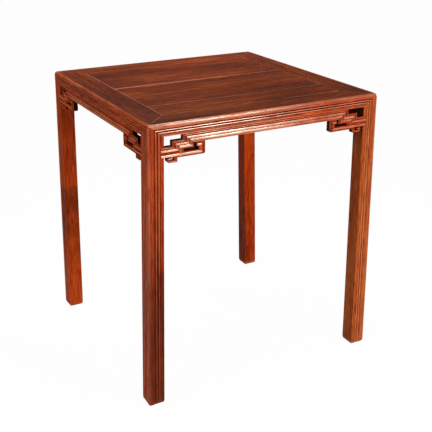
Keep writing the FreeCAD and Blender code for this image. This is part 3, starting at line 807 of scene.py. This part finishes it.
def fretOutline():
    # corners of the pierced plate, from the apron's mitre round the hook, the scroll and the stair
    f = fret
    curlTop = barBottom + f["scrollGap"]
    curlBottom = curlTop + f["curlHeight"]
    floor = scrollBottom - f["scrollBar"]
    postEnd = f["scrollStart"] + f["scrollPost"]
    rightPost = f["scrollEnd"] - f["scrollPost"]
    return squeezed([
        (apronEnd, 0), (stripEnd, apronHeight), (stripEnd, slotTop),
        (slotStart, slotTop), (slotStart, slotBottom), (postStart, slotBottom), (postStart, topBarBottom),
        (f["hookTopStart"], topBarBottom), (f["hookTopStart"], apronHeight),
        (f["hookEnd"], apronHeight), (f["hookEnd"], hookBottom),
        (f["scrollEnd"], hookBottom), (f["scrollEnd"], scrollBottom),
        (f["scrollStart"], scrollBottom), (f["scrollStart"], curlTop),
        (postEnd + f["curl"], curlTop), (postEnd + f["curl"], curlBottom),
        (postEnd, curlBottom), (postEnd, floor), (rightPost, floor), (rightPost, barBottom),
        (moulding["stripStart"], barBottom), (moulding["stripStart"], barTop),
        (f["stairStart"], barTop), (f["stairStart"], f["stairDrop"]), (apronEnd, f["stairDrop"]),
    ])


mitreEdge, legEdge = 0, 21     # places in the outline of the edges at the apron and in the leg


def slotCorners():
    # the slot inside the hook, from its lower left corner round to the slit beside its top bar
    return squeezed([(slotStart, slotBottom), (postStart, slotBottom), (postStart, topBarBottom),
                     (fret["hookTopStart"], topBarBottom), (fret["hookTopStart"], apronHeight),
                     (stripEnd, apronHeight), (stripEnd, slotTop), (slotStart, slotTop)])


def stairPath(offset, last):
    # a ridge's corners down both steps of the stair and along the lowest bar, at the depth last
    across = offset * stripStretch
    drop, start = fret["stairDrop"], fret["stairStart"]
    return squeezed([(apronEnd + across, -fret["overrun"]), (apronEnd + across, drop + offset),
                     (start + across, drop + offset), (start + across, last), (moulding["stripStart"], last)])


def fretRidges():
    # each ridge's width, wear and painted highlight, and corners: three down the stair, two round the hook,
    # one round the scroll
    f = fret
    edge, upper, lower = (offset for offset, width in stripRidges)
    edgeWidth, upperWidth, lowerWidth = (width for offset, width in stripRidges)
    lowest = slotBottom + f["ridgeInset"]
    inner = postStart + f["ridgeInset"]
    outer = f["hookEnd"] - edge * stripStretch
    topInner = topBarBottom - f["ridgeInset"]
    left = f["scrollStart"] + f["scrollPost"] / 2
    right = f["scrollEnd"] - f["scrollPost"] / 2
    low = scrollBottom - f["scrollBar"] / 2
    curl = barBottom + f["scrollGap"] + f["curlHeight"] / 2
    hookInner = squeezed([(f["stairStart"] + lower * stripStretch, lowest), (inner, lowest),
                          (inner, topInner), (f["hookTopStart"], topInner)])
    hookOuter = squeezed([(f["scrollEnd"], hookBottom - edge), (outer, hookBottom - edge),
                          (outer, apronHeight + edge), (f["hookTopStart"], apronHeight + edge)])
    scroll = squeezed([(right, hookBottom), (right, low), (left, low), (left, curl),
                       (f["scrollStart"] + f["scrollPost"] + f["curl"], curl)])
    paths = [stairPath(edge, barTop + edge), stairPath(upper, barTop + upper), stairPath(lower, lowest),
             hookInner, hookOuter, scroll]
    widths = [edgeWidth, upperWidth, lowerWidth, upperWidth, edgeWidth, f["scrollRidge"]]
    return list(zip(widths, f["fretRidgeWearHighlight"], paths))


def fretLines(corners, paths):
    # grid lines on every edge and ridge, close together beside each, and no cell too wide;
    # the square of the apron's mitre has the same lines both ways, so its diagonal is exact
    ease = fret["edgeEase"] * np.array(fret["edgeLines"])
    ridge = np.array(fret["ridgeLines"])
    soft = ridges["lowerEase"] * np.array(fret["softLines"])
    lines = []
    for axis, softEdge in ((0, apronHeight), (1, slotTop)):
        values = [edge + ease for edge in np.unique(corners[:, axis])] + [softEdge + soft]
        for width, ridgeWearHighlight, path in paths:
            values += [line + width * ridge for line in np.unique(path[:, axis])]
        lines.append(np.concatenate(values))
    square = np.append(lines[0], lines[1])
    square = square[(square >= 0) & (square <= apronHeight)]
    low, high = corners.min(axis=0), corners.max(axis=0)
    found = []
    for axis in (0, 1):
        values = np.append(lines[axis], square)
        values = np.unique(np.round(values / fret["gridStep"])) * fret["gridStep"]
        values = values[(values >= low[axis] - slack) & (values <= high[axis] + slack)]
        parts = np.ceil(np.diff(values) / fret["coarsest"]).astype(int)
        filled = [np.linspace(start, end, part, endpoint=False)
                  for start, end, part in zip(values, values[1:], parts)]
        found.append(np.append(np.concatenate(filled), values[-1]))
    return found


def insideOutline(x, z, corners):
    # even-odd rule: count the outline's edges that a line to the right crosses
    ends = np.roll(corners, -1, axis=0)
    x, z = x[..., None], z[..., None]
    crosses = (corners[:, 1] > z) != (ends[:, 1] > z)
    rise = np.where(ends[:, 1] == corners[:, 1], 1.0, ends[:, 1] - corners[:, 1])
    meets = corners[:, 0] + (z - corners[:, 1]) * (ends[:, 0] - corners[:, 0]) / rise
    return (crosses & (x < meets)).sum(axis=-1) % 2 == 1


def segmentDistance(points, starts, ends):
    # shortest distance from every point to the nearest of the segments
    ahead = ends - starts
    share = ((points[:, None] - starts) * ahead).sum(axis=-1) / (ahead ** 2).sum(axis=-1)
    nearest = starts + np.clip(share, 0, 1)[..., None] * ahead
    return np.linalg.norm(points[:, None] - nearest, axis=-1).min(axis=1)


def mitredDistance(points, path):
    # distance from a path of upright and level stretches, the greater of across and along,
    # which keeps the ridge's turns square; and the distance from its level stretches alone
    low, high = np.minimum(path[:-1], path[1:]), np.maximum(path[:-1], path[1:])
    outside = np.maximum(np.maximum(low - points[:, None], points[:, None] - high), 0).max(axis=-1)
    level = low[:, 1] == high[:, 1]
    return outside.min(axis=-1), outside[:, level].min(axis=-1)


def easeDrop(distance, radius):
    # how far a rounded edge falls away: radius - sqrt(radius^2 - (radius - distance)^2)
    short = radius - np.clip(distance, 0, radius)
    return radius - np.sqrt(radius ** 2 - short ** 2)


def roundedCorner(points, corner, inwards, radius):
    # a square corner made round: about the centre of the round, each square becomes a ring of the same
    # reach, so away / |away| * max(away), measured in radii
    reach = np.array([radius / stripStretch, radius])
    centre = squeezed(corner) + reach * (inwards, -1)
    away = (points - centre) / reach * (-inwards, 1)
    inCorner = (away > 0).all(axis=1) & (away < 1 + slack).all(axis=1)
    shrink = away.max(axis=1) / np.maximum(np.linalg.norm(away, axis=1), tiny)
    return np.where(inCorner[:, None], centre + (points - centre) * shrink[:, None], points)


def fretCells(xLines, zLines, corners, slot):
    # cells of the grid that lie in the outline or the slot; those on the mitre are cut to triangles
    cells = gridQuads(len(zLines), len(xLines), False)
    middleX, middleZ = np.meshgrid((xLines[1:] + xLines[:-1]) / 2, (zLines[1:] + zLines[:-1]) / 2)
    onMitre = (np.abs(middleX - middleZ) < slack) & (middleZ < apronHeight)
    kept = insideOutline(middleX, middleZ, corners) | insideOutline(middleX, middleZ, slot)
    return cells[(kept & ~onMitre).ravel()], cells[onMitre.ravel()][:, [0, 2, 3]]


def fretMesh():
    # a sheet of cells over the outline, raised along the ridges and rounded at its edges
    f = fret
    corners, slot, paths = fretOutline(), slotCorners(), fretRidges()
    xLines, zLines = fretLines(corners, paths)
    quads, triangles = fretCells(xLines, zLines, corners, slot)
    x, z = np.meshgrid(xLines, zLines)
    points = np.stack([x.ravel(), z.ravel()], axis=-1)

    # the mitre and the end in the leg stay sharp; two edges go on from the apron's soft lower edge
    starts, ends = corners, np.roll(corners, -1, axis=0)
    free = [number for number in range(len(corners)) if number not in (mitreEdge, legEdge)]
    toEdge = segmentDistance(points, starts[free], ends[free])
    toMitre = segmentDistance(points, starts[[mitreEdge]], ends[[mitreEdge]])
    softStarts = np.array([(apronHeight, 0.0), corners[2]])
    toSoft = segmentDistance(points, softStarts, corners[2:4])
    slitStart = np.array([(slot[5, 0], apronHeight)])
    slitEnd = np.array([(slot[4, 0], apronHeight)])
    onSlit = segmentDistance(points, slitStart, slitEnd) < f["onLine"]
    inSlot = (insideOutline(points[:, 0], points[:, 1], slot) | onSlit) & (toEdge > f["onLine"])
    widths, wearHighlightShares, corridors = zip(*paths)
    offsets, levelOffsets = zip(*[mitredDistance(points, path) for path in corridors])
    height, marks = ridgeMarks(offsets, widths, wearHighlightShares)
    levelHeight = ridgeMarks(levelOffsets, widths, wearHighlightShares)[0]
    # standing ridges keep less wear and painted highlight; eased edges get some
    marks["worn"] *= np.where(levelHeight > height - slack, 1, f["standingWearHighlight"])
    edgeWearHighlight = f["edgeWearHighlight"] * np.clip(1 - toEdge / f["edgeEase"], 0, 1)
    marks["worn"] = np.maximum(marks["worn"], edgeWearHighlight)
    marks["hollow"] = np.maximum(marks["hollow"] * (toEdge > f["cleanEdge"]), dirtAt(toMitre))
    crisp = np.maximum(easeDrop(toEdge, f["edgeEase"]), easeDrop(toMitre, jointEase["depth"]))
    drop = np.maximum(crisp, easeDrop(toSoft, ridges["lowerEase"]))

    points = roundedCorner(points, (f["hookEnd"], hookBottom), -1, f["hookRadius"])
    points = roundedCorner(points, (f["scrollEnd"], scrollBottom), -1, f["scrollEndRadius"])
    points = roundedCorner(points, (f["scrollStart"], scrollBottom), 1, f["scrollRadius"])
    ground = ridges["setback"]
    behind = ground + f["thickness"]
    across = apronEnd + points[:, 0] * stripStretch
    front = np.stack([across, ground - height + drop, frameBottom - points[:, 1]], axis=-1)
    back = np.stack([across, behind - crisp, frameBottom - points[:, 1]], axis=-1)
    front[inSlot, 1] = behind - f["web"]
    back[inSlot, 1] = behind
    source, share, points, faces = closedSlab(front, back, quads, triangles, f["wallRows"])
    marks = {mark: values[source] * (share == 0) * ~inSlot[source] for mark, values in marks.items()}
    # painted shade on the walls, the back and the web in the slot
    marks["inner"] = np.maximum(np.sign(share), inSlot[source])
    return points, faces, marks


fretPoints, fretFaces, fretMarks = fretMesh()


def addFret(turns, atRight):
    # the left end's fret, or its mirror image at the right end
    side = sideNames[turns]
    neighbour = sideNames[(turns + (1 if atRight else -1)) % 4]
    placed = fretPoints - np.array([sideLength(turns) / 2, 0, 0])
    if atRight:
        placed = placed * np.array([-1, 1, 1])
    return makePiece(side + "Fret" + neighbour.capitalize(), onSide(placed, turns), fretFaces, fretMarks,
                     apronWood[grainAxis(turns)], side + "_spandrel_" + neighbour)


for turns in range(4):
    addFret(turns, False)
    addFret(turns, True)
print("frets made, each with", len(fretFaces), "faces")


# Legs

legLook = {
    "footSize": 50.5,
    "soleInset": 5.0,         # how far the worn foot is drawn in, and over what height
    "soleRise": 12.0,
    "soleRows": 8,
    "soleDarkening": (0.9, 5.0, 1.4),  # share of darkening at the sole, its height, and in heights where it ends
    "scuff": (0.6, 0.6),      # wear of the foot's edges, strongest at this share of the rise
    "shaftStart": 4.0,        # above the drawn-in foot
    "shaftRows": 26,
    "headRows": 7,
    "headStart": 6.0,         # under the frame, where the rows begin to lean to the mitre
    "headGap": 0.6,           # from the last of them to the rows beside the mitre
    "jointRows": (1.2, 0.7, 0.35, 0.0),     # distances of the last rows from the mitre
    "plainPoints": 12,
    "plainMargin": 3.0,       # from the edges of an inner face to the first of them
    "innerStart": 2.0,        # in from the strip, where the inner faces start
    "innerEase": 1.0,
    "arrisWearHighlight": 0.8,
    "clearance": 0.15,        # round the fret's bar where it is let in
    "step": 0.03,             # height of the recess's ends
    "innerShade": 0.18,       # share of painted shade on the two inner faces
    "frontShade": 0.35,       # share of that painted shade on the one towards the front or back
    "shadeDepth": 130.0,      # under the frame, over which it deepens to all of it
}


def legSection():
    # round the leg from its arris: moulded face, plain inner corner, moulded face again, arris
    look = legLook
    edge = moulding["stripDepth"]
    first = np.stack([faceDistance, faceDepth], axis=-1)
    plain = np.linspace(edge + look["plainMargin"], legSize - look["plainMargin"], look["plainPoints"])
    toCorner = np.stack([plain * 0 + legSize, plain], axis=-1)
    corner = easedCorner((legSize, 0), (legSize, legSize), (0, legSize), look["innerEase"])
    fromCorner = np.stack([plain[::-1], plain * 0 + legSize], axis=-1)
    arris = np.stack([arrisAlong, arrisAcross], axis=-1)[::-1]
    section = np.concatenate([first, toCorner, corner, fromCorner, first[::-1, ::-1], arris])
    between = np.zeros(len(section) - 2 * len(first) - len(arris))
    hollow = np.concatenate([faceHollow, between, faceHollow[::-1], np.zeros(len(arris))])
    worn = np.concatenate([faceWearAndHighlight, between, faceWearAndHighlight[::-1], np.full(len(arris), look["arrisWearHighlight"])])
    # painted shade on the inner faces, less on the one towards the front or back
    facing = np.where(section[:, 0] > section[:, 1], 1.0, look["frontShade"])
    inner = facing * (section.min(axis=1) > edge + look["innerStart"])
    return section, {"hollow": hollow, "worn": worn, "inner": inner}


def legHeights(section, foot, housing):
    # a row of heights for every ring: level from the foot to below the frame, then leaning more and
    # more to the mitre, where each point ends at table height less its greater distance from the faces
    look = legLook
    start = look["soleRise"] + look["shaftStart"]
    shaft = np.linspace(start, frameBottom - look["headStart"], look["shaftRows"])
    shaft = np.sort(np.append(shaft, housing))
    mitre = tableHeight - section.max(axis=1) * railStretch
    near = np.array(look["jointRows"])
    share = np.linspace(0, 1, look["headRows"])[1:-1, None]
    head = shaft[-1] * (1 - share) + (mitre - near[0] - look["headGap"]) * share
    level = np.append(foot, shaft)
    level = np.broadcast_to(level[:, None], (len(level), len(section)))
    return np.concatenate([level, head, mitre - near[:, None]]), mitre


def addLeg(turnX, turnY, name, node):
    # the section scaled and shifted by its share of the way down; near the floor it is drawn in by
    # inset * (1 - cos) over rise * (1 - sin)
    look = legLook
    section, marks = legSection()
    fold = np.linspace(0, np.pi / 2, look["soleRows"])
    foot = look["soleRise"] * (1 - np.sin(fold[::-1]))
    draw = look["soleInset"] * (1 - np.cos(fold[::-1]))
    recessFrom = moulding["stripStart"] - look["clearance"]
    recessBack = apronBack + look["clearance"]
    recessTop = barTop - look["clearance"]
    recessBottom = barBottom + look["clearance"]
    housing = frameBottom - np.array([recessBottom + look["step"], recessBottom,
                                      recessTop, recessTop - look["step"]])
    heights, mitre = legHeights(section, foot, housing)
    under = frameBottom - heights
    down = np.clip(under / frameBottom, 0, 1)
    scale = 1 + (look["footSize"] / legSize - 1) * down
    x = section[:, 0] * scale - legSplay * down
    y = section[:, 1] * scale
    inset = np.append(draw, np.zeros(len(heights) - len(draw)))
    drawIn = (2 * inset / look["footSize"])[:, None]
    x += (look["footSize"] / 2 - legSplay - x) * drawIn
    y += (look["footSize"] / 2 - y) * drawIn

    # the recess for each fret's lowest bar
    letIn = (under > recessTop - slack) & (under < recessBottom + slack)
    yLetIn = np.where(letIn & (x > recessFrom), np.maximum(y, recessBack), y)
    x = np.where(letIn & (y > recessFrom), np.maximum(x, recessBack), x)
    y = yLetIn

    # the ends sink a little at the mitre
    fromJoint = mitre - heights
    towards = np.array([legSize, legSize]) / 2 - section
    towards /= np.linalg.norm(towards, axis=1, keepdims=True)
    x += sunkAt(fromJoint) * towards[:, 0]
    y += sunkAt(fromJoint) * towards[:, 1]
    x = (x - tableWidth / 2) * turnX
    y = (y - tableDepth / 2) * turnY
    points, faces = closedTube(wornCorner(np.stack([x, y, heights], axis=-1)))

    padded = padTube(marks, heights.shape)
    # the painted shade deepens under the frame
    shaded = look["innerShade"] + (1 - look["innerShade"]) * np.clip(1 - under / look["shadeDepth"], 0, 1)
    padded["inner"] *= np.append(shaded, [0, 0])
    most, middle = look["scuff"]
    scuffed = most * np.clip(1 - np.abs(heights / look["soleRise"] - middle) / middle, 0, 1)
    raiseMark(padded, "worn", scuffed)
    raiseMark(padded, "hollow", dirtAt(fromJoint))
    most, reach, end = look["soleDarkening"]
    raiseMark(padded, "hollow", most * np.clip(end - heights / reach, 0, 1))
    return makePiece(name, points, faces, padded, legWood[node.replace("_leg", "")], node)


for end, turnY in (("front", 1), ("back", -1)):
    for side, turnX in (("Left", 1), ("Right", -1)):
        addLeg(turnX, turnY, end + side + "Leg", end + "_" + side.lower() + "_leg")
print("legs made")


# Boards and battens

boards = {
    "edgeEase": 0.5,
    "cup": 0.25,
    "lengthCells": 30,
    "widthCells": 10,
    "edgeRows": (0, 0.12, 0.3, 0.5, 1.0, 1.8, 3.0),     # distances of the first rows from an edge
    "edgeBand": 6.0,                                    # beyond which the cells are even
    "wallRows": (0.1,),
    "dustWidth": 1.7,
}


def rowsBetween(low, high, cells):
    # close together at both edges, even in between
    near, band = np.array(boards["edgeRows"]), boards["edgeBand"]
    return np.concatenate([near + low, np.linspace(low + band, high - band, cells), high - near[::-1]])


def addBoard(name, node, front, back, frontSeam, backSeam):
    # a slab with eased edges whose top dips by cup * (1 - across^2), across from -1 to 1 over its width
    halfLength = tableWidth / 2 - railWidth
    xs = rowsBetween(-halfLength, halfLength, boards["lengthCells"])
    ys = rowsBetween(front, back, boards["widthCells"])
    x, y = (values.ravel() for values in np.meshgrid(xs, ys))
    toEdge = np.minimum(halfLength - np.abs(x), np.minimum(y - front, back - y))
    dip = boards["cup"] * (1 - ((y - front) / (back - front) * 2 - 1) ** 2)
    top = np.stack([x, y, tableHeight - dip - easeDrop(toEdge, boards["edgeEase"])], axis=-1)
    bottom = np.stack([x, y, np.full(len(x), boardBottom)], axis=-1)
    quads = gridQuads(len(ys), len(xs), False)
    source, share, points, faces = closedSlab(top, bottom, quads, np.zeros((0, 3), int), boards["wallRows"])

    # the wider seam between boards holds less to the right
    lost, reach = seamDust["fade"]
    fade = 1 - lost * np.clip(x / reach, 0, 1)
    seams = [(x + halfLength, seamDust["left"]), (halfLength - x, seamDust["right"])]
    for away, seam in ((y - front, frontSeam), (back - y, backSeam)):
        seams.append((away, seamDust[seam] * (fade if seam == "secondBoards" else 1)))
    dust = np.max([strength * dustAt(away, boards["dustWidth"]) for away, strength in seams], axis=0)
    # sides and underside: painted shade
    marks = {"dust": dust[source] * (share == 0), "upper": 1.0 * (share == 0), "inner": 1.0 * (share > 0)}
    return makePiece(name, points, faces, marks, panelWood, node, panelTopWood)


boardEdges = [railWidth - tableDepth / 2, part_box("middle_board")[0].y / mm,
              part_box("back_board")[0].y / mm, tableDepth / 2 - railWidth]
boardSeams = ["front", "firstBoards", "secondBoards", "back"]
for number, name in enumerate(("front", "middle", "back")):
    addBoard(name + "Board", name + "_board", *boardEdges[number:number + 2], *boardSeams[number:number + 2])
for number in (1, 2, 3):
    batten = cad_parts["batten_" + str(number)]
    batten.data.materials.clear()
    batten.data.materials.append(battenWood)
print("boards made")


# Studio

studio = {
    "floorSize": 60.0,
    "floorColour": (0.93, 0.93, 0.93, 1.0),
    "floorRoughness": 0.9,
    "floorSpecular": 0.1,
    "floorGlow": 0.975,          # share of the floor that stays white for the camera
    "floorReflected": 0.35,      # and of that in reflections
    "fill": 0.22,                # of the surroundings on the wood
    "backdropTop": (4.0, 16.0),  # degrees above the floor over which the white backdrop ends
}
white = (1.0, 1.0, 1.0, 1.0)


def makeFloor():
    # pale floor; seen from below it is clear
    half = studio["floorSize"] / 2
    corners = [(-half, -half, 0), (half, -half, 0), (half, half, 0), (-half, half, 0)]
    mesh = bpy.data.meshes.new("floor")
    mesh.from_pydata(corners, [], [(0, 1, 2, 3)])
    floor = addObject("floor", mesh)
    paint = NodeTools(bpy.data.materials.new("floorPaint"))
    shader = paint.tree.nodes["Principled BSDF"]
    paint.feed(shader, {"Base Color": studio["floorColour"], "Roughness": studio["floorRoughness"],
                        "Specular IOR Level": studio["floorSpecular"]})
    rays = paint.add("LightPath").outputs
    reflected = paint.times(rays["Is Glossy Ray"], studio["floorReflected"])
    seen = paint.math("MAXIMUM", rays["Is Camera Ray"], reflected)
    seen = paint.math("MAXIMUM", seen, rays["Is Transmission Ray"])
    glow = paint.add("Emission", {"Color": white, "Strength": 1.0})
    lit = paint.add("MixShader", {0: paint.times(seen, studio["floorGlow"]),
                                  1: shader.outputs[0], 2: glow.outputs[0]})
    clear = paint.add("BsdfTransparent")
    surface = paint.add("MixShader", {0: paint.add("NewGeometry").outputs["Backfacing"],
                                      1: lit.outputs[0], 2: clear.outputs[0]})
    paint.feed(paint.tree.nodes["Material Output"], {"Surface": surface.outputs[0]})
    mesh.materials.append(paint.owner)


def makeWorld():
    # a white backdrop to the camera and in reflections, ending low down; a softer fill on the wood
    world = bpy.data.worlds.new("studioWhite")
    bpy.context.scene.world = world
    sky = NodeTools(world)
    rays = sky.add("LightPath").outputs
    direction = sky.add("TexCoord").outputs["Generated"]
    height = sky.add("SeparateXYZ", {"Vector": direction}).outputs["Z"]
    low, high = (np.sin(radians(angle)) for angle in studio["backdropTop"])
    backdrop = sky.ramp(height, low, high, 1.0, 0.0, "LINEAR")
    seen = sky.math("MAXIMUM", rays["Is Camera Ray"], rays["Is Transmission Ray"])
    seen = sky.math("MAXIMUM", seen, sky.times(rays["Is Glossy Ray"], backdrop))
    strength = sky.ramp(seen, 0.0, 1.0, studio["fill"], 1.0, "LINEAR")
    sky.feed(sky.tree.nodes["Background"], {"Color": white, "Strength": strength})


lamps = {
    # name: place, aimed at, width, height, watts, colour
    "frontSoftbox": ((1.75, -3.9, 2.1), (-0.1, -0.3, 0.75), 0.75, 1.8, 185.0, (1.0, 0.91, 0.81)),
    "leftSoftbox": ((-3.2, -1.4, 1.5), (-0.2, 0.0, 0.6), 1.0, 1.4, 44.0, (1.0, 0.92, 0.84)),
    "upperSoftbox": ((0.05, 0.6, 1.7), (0.0, 0.45, 0.865), 0.7, 0.7, 15.0, (1.0, 0.92, 0.84)),
}


def addLamp(name, place, target, width, height, watts, colour):
    # a rectangle of light at its place, turned to its target
    light = bpy.data.lights.new(name, "AREA")
    light.shape = "RECTANGLE"
    light.size, light.size_y = width, height
    light.energy = watts
    light.color = colour
    lamp = addObject(name, light)
    lamp.location = place
    lamp.rotation_euler = (Vector(target) - Vector(place)).to_track_quat("-Z", "Y").to_euler()


cameraView = {
    "place": (-1.2025, -2.2521, 1.4466),
    "azimuth": -28.752,
    "elevation": 22.232,
    "roll": 0.142,
    "lens": 67.582,
    "sensor": 36.0,
}


def addCamera():
    # turned to the azimuth, tilted down by the elevation and rolled about its own axis
    data = bpy.data.cameras.new("camera")
    data.lens = cameraView["lens"]
    data.sensor_width = cameraView["sensor"]
    camera = addObject("camera", data)
    turn = Matrix.Rotation(radians(cameraView["azimuth"]), 4, "Z")
    tilt = Matrix.Rotation(radians(90 - cameraView["elevation"]), 4, "X")
    roll = Matrix.Rotation(radians(cameraView["roll"]), 4, "Z")
    camera.matrix_world = Matrix.Translation(cameraView["place"]) @ turn @ tilt @ roll
    bpy.context.scene.camera = camera


makeFloor()
makeWorld()
for name, settings in lamps.items():
    addLamp(name, *settings)
addCamera()
bpy.context.scene.view_settings.view_transform = "Standard"
print("studio made")
